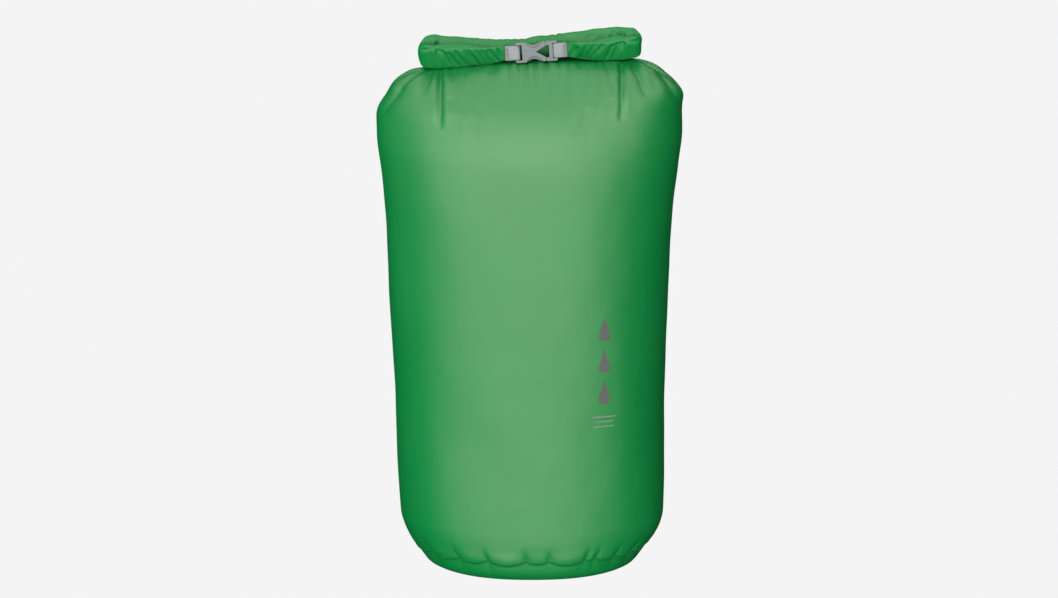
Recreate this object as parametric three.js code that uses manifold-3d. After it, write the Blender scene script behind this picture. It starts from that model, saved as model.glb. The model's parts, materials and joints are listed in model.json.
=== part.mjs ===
// A roll-top dry bag of about 22 litres, filled and standing on its oval base, with its mouth rolled
// down, the ends of the roll folded forward and joined by a side-release buckle.
//
// Millimetres, +Z up, -Y is the bag's front, origin on the floor under the middle of the bag.

import * as THREE from "three";
import { mergeVertices } from "three/addons/utils/BufferGeometryUtils.js";
import Module from "manifold-3d";

const wasm = await Module();
wasm.setup();

// ---------------------------------------------------------------- driving dimensions

const GAP = 0.3; // clearance between pieces that touch
const WALL = 1.2; // thickness of each coated fabric panel
const NECK_WALL = 0.4; // and where the neck is pressed flat under the roll
const AROUND = 40; // facets around the bag
const SQUARENESS = 2.3; // exponent of the bag's rounded-oval section, 2 is an ellipse
const NECK_SQUARENESS = 8; // and where the neck is pressed flat

// Half-width and half-depth of the bag's outside at each height.
const SECTIONS = [
  { z: 0, w: 96, d: 82 },
  { z: 1, w: 102, d: 88 },
  { z: 4, w: 110, d: 94 },
  { z: 10, w: 118, d: 100.5 },
  { z: 19, w: 126, d: 106 },
  { z: 32, w: 135.5, d: 110 },
  { z: 44, w: 140.5, d: 112 },
  { z: 60, w: 142.5, d: 113 },
  { z: 170, w: 143.5, d: 113 },
  { z: 280, w: 147, d: 112 },
  { z: 390, w: 153, d: 108 },
  { z: 440, w: 157.5, d: 103.5 },
  { z: 472, w: 160, d: 93 },
  { z: 492, w: 158, d: 80 },
  { z: 506, w: 152, d: 66 },
  { z: 516, w: 144, d: 49 },
  { z: 523, w: 135, d: 32 },
  { z: 528, w: 124, d: 14 },
  { z: 532, w: 104.5, d: 0.7 },
  { z: 556, w: 104.5, d: 0.7 },
];
const NECK_FROM = 495; // the section starts to flatten towards the neck
const NECK_Z = 530;
const BASE_SEAM_Z = 19; // where the wall panels are sewn to the base
const BEYOND = 600; // farther than any part of the bag, for solids that cut it
const SEAM_TAPE = { width: 18, thickness: 0.5, top: 490, inset: WALL + 0.9 };
const BASE_TAPE = { low: 11, high: 27, thickness: 0.5, inset: WALL + 1.5 };

const LEAN = THREE.MathUtils.degToRad(2.3); // the rolled closure's right end rides higher
const LEAN_FROM = 440; // the walls start to follow that lean above this height

const ROLL = {
  x: 1, // middle of the roll
  y: -6, // its hinge line, just in front of the neck
  z: 557.5,
  half: 106.5, // half its length, up to the folded ends
  radius: 5, // half its thickness
  drop: 25, // from the hinge line to its lower edge
  cloth: 1, // the neck's two layers together
  pitch: 1.5, // from one turn to the next
};
const STIFFENER = { half: 104, thickness: 0.8, low: -17, high: -1, corner: 3, apart: 0.1 };
const TURN_PINCH = 0.28; // how much lower the roll is where it turns back on itself

// The ends of the roll, folded forward to lie in front of it.
const END = { top: -7, bottom: -27.5, back: -6, front: -17, corner: 3.5 };
const TIP = { halfHeight: 8.9, halfThickness: 2.9, y: -11.6 }; // where they taper to the webbing
const LEFT_TIP_X = -25.8;
const RIGHT_TIP_X = 37.3;

const WEBBING = { half: 7.4, thickness: 1, tuck: 9.5, inner: 2 };
const BUCKLE = {
  x: 6, // middle of the closed buckle, along the roll
  y: -12.5,
  z: -13,
  turn: THREE.MathUtils.degToRad(1.5), // it leans a little more than the roll
  halfLength: 21.7,
  halfHeight: 10.3,
  thickness: 7.4,
  corner: 2.2,
  mouth: 9.7, // where the female half ends
};
const FRAME = { thickness: 6.4, corner: 1.6, opening: 6.4 }; // the prongs' frame, and half its opening
const BAR = { left: -20.4, right: 20.5, halfWidth: 1.25, halfThickness: 1 }; // the webbing goes round these
const SLOT = { left: -14.7, right: 17, half: 7.9 }; // inner edges and half-height of the webbing slots
const POCKET = { left: -13.5, halfHeight: 9.1, thickness: 3.4 };
const NOTCH = { x: 0.9, radius: 0.75, half: 6.6 }; // the V between the prongs: its foot and its half-width
const GRIP = { x: -2.2, z: 13.2, radius: 9 }; // the scoop on each side that bares a prong
const PRONG = {
  root: 13, // where it leaves the frame
  z: 8, // its middle there
  radius: 0.8, // half its thickness there
  thickness: 2.8, // front to back
  shoulder: 5.3, // where it widens to lock behind the female half
  reach: 9.8, // how far out the shoulder stands
  tip: -12.3,
};

// ---------------------------------------------------------------- helpers

const X = new THREE.Vector3(1, 0, 0);
const Y = new THREE.Vector3(0, 1, 0);
const Z = new THREE.Vector3(0, 0, 1);

const { lerp, smoothstep, clamp } = THREE.MathUtils;

// Half-width and half-depth at a height, straight between the sections.
function sectionAt(z) {
  const upper = SECTIONS.findIndex((s) => s.z >= z);
  const [a, b] = [SECTIONS[upper - 1], SECTIONS[upper]];
  const t = (z - a.z) / (b.z - a.z);
  return { z, w: lerp(a.w, b.w, t), d: lerp(a.d, b.d, t) };
}

// How far the lean lifts a point of the wall.
function leanLift(x, z) {
  return x * Math.tan(LEAN) * smoothstep(z, LEAN_FROM, ROLL.z - ROLL.drop);
}

// Half-depth of a section at a distance from its middle.
function depthAt({ z, w, d }, x) {
  const power = lerp(SQUARENESS, NECK_SQUARENESS, smoothstep(z, NECK_FROM, NECK_Z));
  return d * Math.max(0, 1 - Math.abs(x / w) ** power) ** (1 / power);
}

// One ring of points round the bag.
function ring(section, lift = 0) {
  return Array.from({ length: AROUND }, (_, i) => {
    const angle = (2 * Math.PI * i) / AROUND;
    const x = section.w * Math.cos(angle);
    const y = depthAt(section, x) * Math.sign(Math.sin(angle));
    return new THREE.Vector3(x, y, section.z + lift + leanLift(x, section.z));
  });
}

// The section one fabric thickness inside another, measured square to the wall.
function inner(section) {
  const i = SECTIONS.indexOf(section);
  const [below, above] = [SECTIONS[Math.max(0, i - 1)], SECTIONS[Math.min(SECTIONS.length - 1, i + 1)]];
  const inwards = (below.w + below.d - above.w - above.d) / 2;
  const tilt = Math.atan2(inwards, above.z - below.z);
  const wall = lerp(WALL, NECK_WALL, smoothstep(section.z, NECK_FROM, NECK_Z));
  const inset = wall * Math.cos(tilt);
  return { z: section.z - wall * Math.sin(tilt), w: section.w - inset, d: section.d - inset };
}

// A closed surface through a loop of rings, the last joined back to the first.
function loft(rings) {
  const count = rings[0].length;
  const index = [];
  rings.forEach((_, r) => {
    const [here, next] = [r * count, ((r + 1) % rings.length) * count];
    for (let i = 0; i < count; i += 1) {
      const j = (i + 1) % count;
      index.push(here + i, here + j, next + j, here + i, next + j, next + i);
    }
  });
  return new THREE.BufferGeometry().setFromPoints(rings.flat()).setIndex(index);
}

// A three.js geometry as a manifold-3d solid, and back.
function solid(geometry) {
  const bare = new THREE.BufferGeometry();
  bare.setAttribute("position", geometry.getAttribute("position").clone());
  if (geometry.index) bare.setIndex(geometry.index.clone());
  const merged = mergeVertices(bare, 1e-4);
  return new wasm.Manifold(
    new wasm.Mesh({
      numProp: 3,
      vertProperties: merged.getAttribute("position").array,
      triVerts: new Uint32Array(merged.index.array),
    }),
  );
}

function geometryOf(manifold) {
  const mesh = manifold.getMesh();
  return new THREE.BufferGeometry()
    .setAttribute("position", new THREE.BufferAttribute(new Float32Array(mesh.vertProperties), 3))
    .setIndex(new THREE.BufferAttribute(new Uint32Array(mesh.triVerts), 1));
}

// A box from its low and high corners.
function box(low, high) {
  const size = high.map((v, k) => v - low[k]);
  const middle = high.map((v, k) => (v + low[k]) / 2);
  return new THREE.BoxGeometry(...size).translate(...middle);
}

// Moves every vertex by a function of its place.
function bend(geometry, move) {
  const at = geometry.getAttribute("position");
  const point = new THREE.Vector3();
  for (let i = 0; i < at.count; i += 1) {
    move(point.fromBufferAttribute(at, i));
    at.setXYZ(i, point.x, point.y, point.z);
  }
  return geometry;
}

// An outline drawn in the Y-Z plane, extruded along X.
function extrudeAlongX(shape, from, to, steps = 1) {
  return new THREE.ExtrudeGeometry(shape, { depth: to - from, bevelEnabled: false, steps, curveSegments: 6 })
    .applyMatrix4(new THREE.Matrix4().makeBasis(Y, Z, X))
    .translate(from, 0, 0);
}

// An outline drawn in the X-Z plane, extruded through a thickness centred on Y = 0.
function plate(shape, thickness) {
  return new THREE.ExtrudeGeometry(shape, { depth: thickness, bevelEnabled: false, curveSegments: 8 })
    .applyMatrix4(new THREE.Matrix4().makeBasis(X, Z, Y.clone().negate()))
    .translate(0, thickness / 2, 0);
}

function roundedRectangle(x0, y0, x1, y1, r) {
  const shape = new THREE.Shape();
  shape.moveTo(x0 + r, y0).lineTo(x1 - r, y0).absarc(x1 - r, y0 + r, r, -Math.PI / 2, 0);
  shape.lineTo(x1, y1 - r).absarc(x1 - r, y1 - r, r, 0, Math.PI / 2);
  shape.lineTo(x0 + r, y1).absarc(x0 + r, y1 - r, r, Math.PI / 2, Math.PI);
  shape.lineTo(x0, y0 + r).absarc(x0 + r, y0 + r, r, Math.PI, 1.5 * Math.PI);
  return shape;
}

// ---------------------------------------------------------------- materials

const nylon = new THREE.MeshStandardMaterial({ color: 0x3f9a55, roughness: 0.5, metalness: 0 });
const tape = new THREE.MeshStandardMaterial({ color: 0x7fb58c, roughness: 0.4, metalness: 0 });
const strip = new THREE.MeshStandardMaterial({ color: 0x2c6f3d, roughness: 0.6, metalness: 0 });
const webbing = new THREE.MeshStandardMaterial({ color: 0x9fa2a5, roughness: 0.8, metalness: 0 });
const acetal = new THREE.MeshStandardMaterial({ color: 0x878b8d, roughness: 0.45, metalness: 0 });

function piece(parent, name, geometry, material) {
  const mesh = new THREE.Mesh(geometry, material);
  mesh.name = name;
  parent.add(mesh);
}

// ---------------------------------------------------------------- the bag

// The wall above the base seam as one tube, then cut along its two side seams.
function wallTube() {
  const rows = SECTIONS.filter((s) => s.z >= BASE_SEAM_Z);
  const lift = (s) => (s.z === BASE_SEAM_Z ? GAP / 2 : 0);
  const outside = rows.map((s) => ring(s, lift(s)));
  const inside = rows.map((s) => ring(inner(s), lift(s))).reverse();
  return solid(loft([...outside, ...inside]));
}

function wallPanel(side) {
  const far = box([-BEYOND, GAP / 2, 0], [BEYOND, BEYOND, BEYOND]);
  if (side < 0) far.rotateZ(Math.PI);
  return geometryOf(wallTube().intersect(solid(far)));
}

// The oval base: a flat bottom whose rim turns up to the base seam.
function basePanel() {
  const rows = SECTIONS.filter((s) => s.z <= BASE_SEAM_Z);
  const lift = (s) => (s.z === BASE_SEAM_Z ? -GAP / 2 : 0);
  const outside = rows.map((s) => ring(s, lift(s)));
  const inside = rows.map((s) => ring(inner(s), lift(s))).reverse();
  const rim = solid(loft([...outside, ...inside]));
  const disc = new THREE.Shape(ring(rows[0]).map((p) => new THREE.Vector2(p.x, p.y)));
  return geometryOf(rim.add(solid(new THREE.ExtrudeGeometry(disc, { depth: WALL, bevelEnabled: false }))));
}

// A strip of tape that seals a side seam from inside.
function sideTape(side) {
  const { width, thickness, top, inset } = SEAM_TAPE;
  const across = [-0.5, -0.25, 0, 0.25, 0.5].map((k) => k * width);
  const point = (z, y, depth) => {
    const { w, d } = sectionAt(z);
    const x = side * (w - depth) * (1 - Math.abs(y / (d - depth)) ** SQUARENESS) ** (1 / SQUARENESS);
    return new THREE.Vector3(x, side * y, z + leanLift(x, z));
  };
  const bottom = BASE_TAPE.high + 2;
  const heights = SECTIONS.map((s) => s.z).filter((z) => z > bottom && z < top);
  return strand([bottom, ...heights, top].map((z) => [
    ...across.map((y) => point(z, y, inset)),
    ...across.toReversed().map((y) => point(z, y, inset + thickness)),
  ]));
}

// A solid strip through its cross-sections, each one edge and then the other in reverse.
function strand(sections) {
  const count = sections[0].length;
  const last = (sections.length - 1) * count;
  const index = [];
  for (let r = 0; r < last; r += count) {
    for (let i = 0; i < count; i += 1) {
      const [a, b] = [r + i, r + ((i + 1) % count)];
      index.push(a, b, b + count, a, b + count, a + count);
    }
  }
  for (let i = 0; i + 1 < count / 2; i += 1) {
    const [a, b, c, d] = [i, i + 1, count - 2 - i, count - 1 - i];
    index.push(a, c, b, a, d, c);
    index.push(last + a, last + b, last + c, last + a, last + c, last + d);
  }
  return new THREE.BufferGeometry().setFromPoints(sections.flat()).setIndex(index);
}

// The ring of tape that seals the base seam from inside.
function baseTape() {
  const { low, high, thickness, inset } = BASE_TAPE;
  const rows = [low, BASE_SEAM_Z, high].map(sectionAt);
  const shrunk = (by) => rows.map((s) => ring({ z: s.z, w: s.w - by, d: s.d - by }));
  return loft([...shrunk(inset), ...shrunk(inset + thickness).reverse()]);
}

// ---------------------------------------------------------------- the rolled closure

// The path of the rolled neck in the Y-Z plane: over the top, down the front, under and up, and inwards.
function rollPath() {
  const path = [];
  const arc = (cy, cz, r, from, to) => {
    const count = Math.max(4, Math.round(r * 2));
    for (let i = 0; i <= count; i += 1) {
      const angle = from + ((to - from) * i) / count;
      path.push(new THREE.Vector2(cy + r * Math.cos(angle), cz + r * Math.sin(angle)));
    }
  };
  const bottom = ROLL.radius - ROLL.drop;
  for (let r = ROLL.radius - ROLL.cloth / 2; r > 1; r -= ROLL.pitch) {
    arc(0, 0, r, 0, Math.PI);
    if (r - ROLL.pitch > 1) arc(-ROLL.pitch / 2, bottom, r - ROLL.pitch / 2, Math.PI, 2 * Math.PI);
    else path.push(new THREE.Vector2(-r, STIFFENER.low));
  }
  return path;
}

// A ribbon of the cloth's thickness along the path.
function rollTurns() {
  const path = rollPath();
  const side = (sign) =>
    path.map((p, i) => {
      const [a, b] = [path[Math.max(0, i - 1)], path[Math.min(path.length - 1, i + 1)]];
      const along = b.clone().sub(a).normalize();
      return new THREE.Vector2(-along.y, along.x).multiplyScalar((sign * ROLL.cloth) / 2).add(p);
    });
  const outline = new THREE.Shape([...side(1), ...side(-1).reverse()]);
  return extrudeAlongX(outline, -ROLL.half, ROLL.half);
}

function stiffener(side) {
  const { half, thickness, low, high, corner, apart } = STIFFENER;
  const shape = roundedRectangle(-half, low, half, high, corner);
  return plate(shape, thickness).translate(0, (side * (thickness + apart)) / 2, 0);
}

// Height of the buckle's own long axis above the roll's hinge line.
function buckleAxis(x) {
  return BUCKLE.z + (x - BUCKLE.x) * Math.tan(BUCKLE.turn);
}

// A folded-over end of the roll, tapering from its fold to a slot that holds the buckle's webbing.
function rollEnd(side, tip) {
  const fold = side * (ROLL.half - GAP);
  const shape = roundedRectangle(END.front, END.bottom, END.back, END.top, END.corner);
  const [y, z] = [(END.front + END.back) / 2, (END.top + END.bottom) / 2];
  const body = bend(extrudeAlongX(shape, Math.min(fold, tip), Math.max(fold, tip), 6), (p) => {
    const t = smoothstep((fold - p.x) / (fold - tip), 0, 1);
    const thinner = lerp(1, TIP.halfThickness / (END.back - y), t);
    const lower = lerp(1, TIP.halfHeight / (END.top - z), t);
    p.y = lerp(y, TIP.y, t) + (p.y - y) * thinner;
    p.z = lerp(z, buckleAxis(tip), t) + (p.z - z) * lower;
  });
  const { half, thickness, tuck } = WEBBING;
  const slot = box([-tuck - 1, -thickness - 0.4, -half - GAP], [tuck + 1, thickness + 0.4, half + GAP]);
  slot.rotateY(-BUCKLE.turn).translate(tip, BUCKLE.y, buckleAxis(tip));
  return geometryOf(solid(body).subtract(solid(slot)));
}

// The turn that joins the roll to its folded-over end.
function foldTurn(side) {
  const radius = (ROLL.radius - END.front) / 2;
  const middle = (ROLL.radius + END.front) / 2;
  const start = side > 0 ? -Math.PI / 2 : Math.PI / 2;
  const shape = new THREE.Shape();
  shape.absarc(0, middle, radius, start, start + Math.PI);
  const turn = new THREE.ExtrudeGeometry(shape, { depth: 1, bevelEnabled: false, curveSegments: 12 });
  bend(turn, (p) => {
    const forward = clamp((ROLL.radius - p.y) / (2 * radius), 0, 1);
    const top = lerp(ROLL.radius, END.top, smoothstep(forward, 0.25, 1));
    const bottom = lerp(-ROLL.drop, END.bottom, forward);
    const pinch = 1 - TURN_PINCH * (p.x / radius) ** 2;
    p.z = (top + bottom) / 2 + (p.z - 0.5) * (top - bottom) * pinch;
  });
  return turn.translate(side * (ROLL.half + GAP), 0, 0);
}

// ---------------------------------------------------------------- the buckle and its webbing

// Cuts each tool out of a body.
function carve(body, tools) {
  return geometryOf(tools.reduce((rest, tool) => rest.subtract(solid(tool)), solid(body)));
}

// The same box on the body's front and on its back.
function bothFaces(low, high) {
  return [box(low, high), box(low, high).rotateX(Math.PI)];
}

// The half with a pocket, scooped at each side and notched to a V where the prongs enter.
function femaleHalf() {
  const { halfLength, halfHeight, thickness, corner, mouth } = BUCKLE;
  const barEdge = BAR.left + BAR.halfWidth;
  const notch = new THREE.Shape();
  notch.moveTo(mouth + 1, -NOTCH.half).lineTo(mouth + 1, NOTCH.half);
  notch.absarc(NOTCH.x, 0, NOTCH.radius, 0.6 * Math.PI, 1.4 * Math.PI);
  return carve(plate(roundedRectangle(-halfLength, -halfHeight, mouth, halfHeight, corner), thickness), [
    ...[-1, 1].map((side) =>
      new THREE.CylinderGeometry(GRIP.radius, GRIP.radius, 20, 40).translate(GRIP.x, 0, side * GRIP.z)),
    ...bothFaces([-halfLength - 1, BAR.halfThickness, -SLOT.half], [barEdge, 10, SLOT.half]),
    box([POCKET.left, -POCKET.thickness / 2, -POCKET.halfHeight],
      [mouth + 1, POCKET.thickness / 2, POCKET.halfHeight]),
    plate(roundedRectangle(barEdge, -SLOT.half, SLOT.left, SLOT.half, 0.3), 20),
    plate(notch, 20),
  ]);
}

// The half that carries the prongs: two rails, a crossbar and the outer bar.
function maleFrame() {
  const { halfLength, halfHeight, mouth } = BUCKLE;
  const { thickness, corner, opening } = FRAME;
  const left = mouth + GAP;
  const barEdge = BAR.right - BAR.halfWidth;
  const room = PRONG.thickness / 2 + GAP; // half the depth of the slot each prong's root sits in
  const rootEnd = PRONG.root + PRONG.radius + GAP;
  return carve(plate(roundedRectangle(left, -halfHeight, halfLength, halfHeight, corner), thickness), [
    plate(roundedRectangle(left - 3, -opening, PRONG.root + 0.4, opening, 1), 20),
    plate(roundedRectangle(SLOT.right, -SLOT.half, barEdge, SLOT.half, 0.3), 20),
    ...bothFaces([left - 1, -room, opening - 1], [rootEnd, room, PRONG.z + PRONG.radius + 0.7]),
    ...bothFaces([barEdge, BAR.halfThickness, -SLOT.half], [halfLength + 1, 10, SLOT.half]),
  ]);
}

// One spring arm: a slim root, a shoulder that locks behind the female half, and a scooped grip.
function prong(side) {
  const { root, z, radius, thickness, shoulder, reach, tip } = PRONG;
  const shape = new THREE.Shape();
  shape.moveTo(root, z - radius).absarc(root, z, radius, -Math.PI / 2, Math.PI / 2);
  shape.lineTo(shoulder, z + radius).lineTo(shoulder - 0.2, reach).lineTo(shoulder - 1.2, reach);
  shape.quadraticCurveTo(GRIP.x, 4.8, -9, reach - 0.5).quadraticCurveTo(-11, reach - 0.5, tip, 6.8);
  shape.quadraticCurveTo(tip + 0.5, 5.2, -9, 4.6).lineTo(-1, 3.7).lineTo(3, 4.6).lineTo(7, z - radius);
  return plate(shape, thickness).rotateX(side > 0 ? 0 : Math.PI);
}

// A loop of webbing round a bar of the buckle, its layers sewn together where they enter the roll's end.
function webbingLoop(side, bar, tip) {
  const { half, thickness, tuck, inner: hollow } = WEBBING;
  const [outer, flat, far] = [hollow + thickness, thickness + 0.1, Math.abs(tip - BUCKLE.x - bar)];
  const shape = new THREE.Shape();
  shape.moveTo(far + tuck, flat).lineTo(far, flat).lineTo(3, outer);
  shape.lineTo(0, outer).absarc(0, 0, outer, Math.PI / 2, 1.5 * Math.PI).lineTo(3, -outer);
  shape.lineTo(far, -flat).lineTo(far + tuck, -flat);
  const hole = new THREE.Path();
  hole.moveTo(far - 1, 0).lineTo(3, hollow).lineTo(0, hollow);
  hole.absarc(0, 0, hollow, Math.PI / 2, 1.5 * Math.PI).lineTo(3, -hollow);
  shape.holes.push(hole);
  const loop = new THREE.ExtrudeGeometry(shape, { depth: 2 * half, bevelEnabled: false, curveSegments: 8 });
  loop.translate(0, 0, -half).rotateZ(side > 0 ? 0 : Math.PI);
  return loop.translate(bar, 0, 0);
}

// ---------------------------------------------------------------- assembly

const dryBag = new THREE.Group();
piece(dryBag, "front_panel", wallPanel(-1), nylon);
piece(dryBag, "back_panel", wallPanel(1), nylon);
piece(dryBag, "base_panel", basePanel(), nylon);
piece(dryBag, "left_side_tape", sideTape(-1), tape);
piece(dryBag, "right_side_tape", sideTape(1), tape);
piece(dryBag, "base_tape", baseTape(), tape);

const closure = new THREE.Group();
closure.position.set(ROLL.x, ROLL.y, ROLL.z);
closure.rotation.y = -LEAN;
dryBag.add(closure);
piece(closure, "roll_turns", rollTurns(), nylon);
piece(closure, "front_stiffener", stiffener(-1), strip);
piece(closure, "back_stiffener", stiffener(1), strip);
piece(closure, "left_fold", foldTurn(-1), nylon);
piece(closure, "right_fold", foldTurn(1), nylon);
piece(closure, "left_roll_end", rollEnd(-1, LEFT_TIP_X), nylon);
piece(closure, "right_roll_end", rollEnd(1, RIGHT_TIP_X), nylon);

const buckle = new THREE.Group();
buckle.position.set(BUCKLE.x, BUCKLE.y, BUCKLE.z);
buckle.rotation.y = -BUCKLE.turn;
closure.add(buckle);
piece(buckle, "left_tab", webbingLoop(-1, BAR.left, LEFT_TIP_X), webbing);
piece(buckle, "right_tab", webbingLoop(1, BAR.right, RIGHT_TIP_X), webbing);
piece(buckle, "buckle_female", femaleHalf(), acetal);
piece(buckle, "buckle_male", maleFrame(), acetal);
piece(buckle, "upper_prong", prong(1), acetal);
piece(buckle, "lower_prong", prong(-1), acetal);

export default dryBag;
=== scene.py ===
"""A filled roll-top dry bag standing on its oval base, its mouth rolled down and buckled in front.

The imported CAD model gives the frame: metres, +Z up, -Y the bag's front. The cloth is worked out here in
millimetres, from the same heights and widths as the solids, and scaled by MM when a mesh is made.
"""

import json
import math

import bmesh
import bpy
import numpy as np
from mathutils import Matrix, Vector
from mathutils.bvhtree import BVHTree


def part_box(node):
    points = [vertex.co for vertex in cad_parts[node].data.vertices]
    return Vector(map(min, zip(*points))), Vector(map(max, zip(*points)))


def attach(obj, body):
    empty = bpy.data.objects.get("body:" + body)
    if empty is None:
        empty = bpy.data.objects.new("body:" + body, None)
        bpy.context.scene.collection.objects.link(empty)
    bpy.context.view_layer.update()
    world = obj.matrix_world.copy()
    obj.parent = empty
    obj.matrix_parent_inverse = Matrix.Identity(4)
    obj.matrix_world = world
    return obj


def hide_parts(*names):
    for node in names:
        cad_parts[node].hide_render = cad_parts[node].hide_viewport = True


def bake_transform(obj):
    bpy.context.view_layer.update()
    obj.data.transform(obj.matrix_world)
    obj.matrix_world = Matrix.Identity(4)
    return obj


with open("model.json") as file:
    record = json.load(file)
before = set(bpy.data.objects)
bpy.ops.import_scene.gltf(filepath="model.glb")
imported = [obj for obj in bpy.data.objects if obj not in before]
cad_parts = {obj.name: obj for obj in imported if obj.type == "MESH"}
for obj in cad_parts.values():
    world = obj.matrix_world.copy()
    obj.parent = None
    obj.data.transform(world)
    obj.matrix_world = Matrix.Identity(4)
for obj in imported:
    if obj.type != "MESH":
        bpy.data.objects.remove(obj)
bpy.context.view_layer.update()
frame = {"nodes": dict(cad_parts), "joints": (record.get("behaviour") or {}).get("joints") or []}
joints = {joint["name"]: joint for joint in frame["joints"]}

MM = 0.001
RANDOM = np.random.default_rng(22)
FULL_TURN = 2 * math.pi

# ---------------- the bag's dimensions

# Height, half-width and half-depth of the filled bag's outside, from the floor to the neck's top.
PROFILE = np.array([
    (0.0, 97, 90), (1.5, 106, 97), (5, 114, 102.5), (11, 119, 107), (19, 125, 110), (33, 134, 111.8),
    (44, 138.5, 112.5), (55, 141, 112.8), (116, 143, 113), (172, 143.4, 113), (226, 145.5, 112.5),
    (281, 147, 112), (335, 149, 111), (388, 152.6, 108), (430, 156.8, 102.5), (462, 160, 92),
    (483, 160, 79), (495, 158.5, 68.5), (503, 155.5, 60), (510, 150.5, 52), (516, 144.5, 44.5),
    (520, 139, 39.5), (524, 133.5, 34), (527, 128, 29), (529, 123, 25), (530.4, 118.5, 20),
    (531.3, 115, 13.5), (532.2, 111.5, 7), (534, 107, 3), (538, 104.5, 1.4), (545, 104, 1.2),
    (557, 104, 1.0),
])
PROFILE_STEP = 0.5
SQUARENESS = (2.3, 3.2)  # exponent of the rounded-oval section on the bag and on the flattened neck
FLATTENS = (465, 532)  # heights between which it changes
SEAM_Z = 19.0  # where the wall is sewn to the base
NECK_Z = 532.0  # where the bag's top narrows into the flattened neck
COLUMNS = 760
COLUMN_PITCH = 1.72  # how far apart the columns are on the widest part
SOFTENING = 4.0  # how far the profile's corners are rounded, above the base
SOFTENS = (50, 110, 522, 531)  # heights over which that starts and ends
SWAY = 2.6  # how far the foot of the bag stands to the right of its neck
SWAY_Z = 320  # and the height at which that is gone
LEFT_SHOULDER = (506, 13, -0.030)  # height, reach and share of extra width
RIGHT_SHOULDER = (498, 9, 0.021)

HINGE = np.array(joints["unroll"]["pos_m"]) / MM
LEAN = math.atan2(-joints["unroll"]["axis"][2], -joints["unroll"]["axis"][0])  # the right end rides higher
LEANS_FROM = 440.0
CROWN = 3.0  # how much higher the cloth stands in the middle, under the roll's raised middle
CROWN_REACH = 55
CROWN_RISES = (496, 530)  # heights over which that begins
CROWN_SINKS = (546, 533)  # and over which it is gone again

# ---------------- helpers


def smoothstep(low, high, value):
    """0 up to low and 1 from high, with a smooth rise between. Where low is above high, it falls."""
    t = np.clip((value - low) / (high - low), 0, 1)
    return t * t * (3 - 2 * t)


def through(points, at):
    """A smooth curve through (place, value) points that never overshoots them."""
    xs, ys = np.array(points, float).T
    step, rise = np.diff(xs), np.diff(ys)
    slope = rise / step
    product, total = slope[:-1] * slope[1:], slope[:-1] + slope[1:]
    mean = np.where(product > 0, 2 * product / np.where(total == 0, 1, total), 0)
    tangent = np.concatenate([slope[:1], mean, slope[-1:]])
    at = np.clip(at, xs[0], xs[-1])
    k = np.clip(np.searchsorted(xs, at) - 1, 0, len(xs) - 2)
    t = (at - xs[k]) / step[k]
    return (ys[k] * (1 + 2 * t) * (1 - t) ** 2 + ys[k + 1] * t * t * (3 - 2 * t)
            + tangent[k] * step[k] * t * (1 - t) ** 2 - tangent[k + 1] * step[k] * t * t * (1 - t))


def grid_normals(points, wraps):
    """Unit normals of a grid of points, rows by columns."""
    if wraps:
        along = np.roll(points, -1, 1) - np.roll(points, 1, 1)
    else:
        along = np.gradient(points, axis=1)
    up = np.gradient(points, axis=0)
    normal = np.cross(along, up)
    return normal / np.maximum(np.linalg.norm(normal, axis=-1, keepdims=True), 1e-9)


CREASE_ROUND = 0.4  # how round a crease is at its bottom, in shares of its width
CREASE_LIP = (0.12, 2.6, 1.3)  # the low ridge beside it: share of the depth, place and width
CREASE_START = 0.22  # the share of its length over which it deepens


def crease_depth(place, creases, wander=1.0, deepest=6.0):
    """How far creases press into a surface.

    Each is (a, b, c, d, width, depth), runs from (a, b) to (c, d), and fades towards its end.
    """
    total = np.zeros(place.shape[:-1])
    place = place + wander * np.stack([ripples(place, 5, 26, 0.7), ripples(place, 5, 26, 0.7)], -1)
    lip, lip_place, lip_width = CREASE_LIP
    for a, b, c, d, width, depth in creases:
        run = np.array([c - a, d - b])
        offset = place - np.array([a, b])
        along = offset @ run / (run @ run)
        beside = np.abs(offset @ np.array([run[1], -run[0]])) / np.linalg.norm(run)
        near = (along > -0.1) & (along < 1.2) & (beside < 7 * width)
        t = np.clip(along[near], 0, 1)
        apart = np.sum((offset[near] - t[..., None] * run) ** 2, -1) / width**2
        gap = np.sqrt(apart + CREASE_ROUND**2) - CREASE_ROUND
        fade = smoothstep(0, CREASE_START, t) * (1 - t) ** 0.6
        groove = np.exp(-gap**1.1) - lip * np.exp(-((gap - lip_place) / lip_width) ** 2)
        total[near] += depth * fade * groove
    return deepest * np.tanh(total / deepest)


def ripples(place, count, length, height, stretch=(1, 1)):
    """Soft random waves over a surface, about as long and as high as asked."""
    total = np.zeros(place.shape[:-1])
    for _ in range(count):
        angle = RANDOM.uniform(0, math.pi)
        wave = FULL_TURN / (length * RANDOM.uniform(0.7, 1.6))
        direction = wave * np.array([math.cos(angle) * stretch[0], math.sin(angle) * stretch[1]])
        total += np.sin(place @ direction + RANDOM.uniform(0, FULL_TURN))
    return total * height / math.sqrt(count)


def new_piece(name, points, faces, material, smooth=True):
    """An object with one mesh, from points in metres."""
    mesh = bpy.data.meshes.new(name)
    mesh.from_pydata(points, [], faces)
    mesh.polygons.foreach_set("use_smooth", [smooth] * len(mesh.polygons))
    mesh.materials.append(material)
    piece = bpy.data.objects.new(name, mesh)
    bpy.context.scene.collection.objects.link(piece)
    return piece


def distances(path):
    """How far along a path each of its points lies."""
    return np.concatenate([[0], np.cumsum(np.linalg.norm(np.diff(path, axis=0), axis=1))])


def grid_faces(index, following):
    """Four-sided faces between neighbouring rows of a grid of point numbers."""
    return np.stack([index[:-1], following[:-1], following[1:], index[1:]], -1).reshape(-1, 4).tolist()


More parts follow.
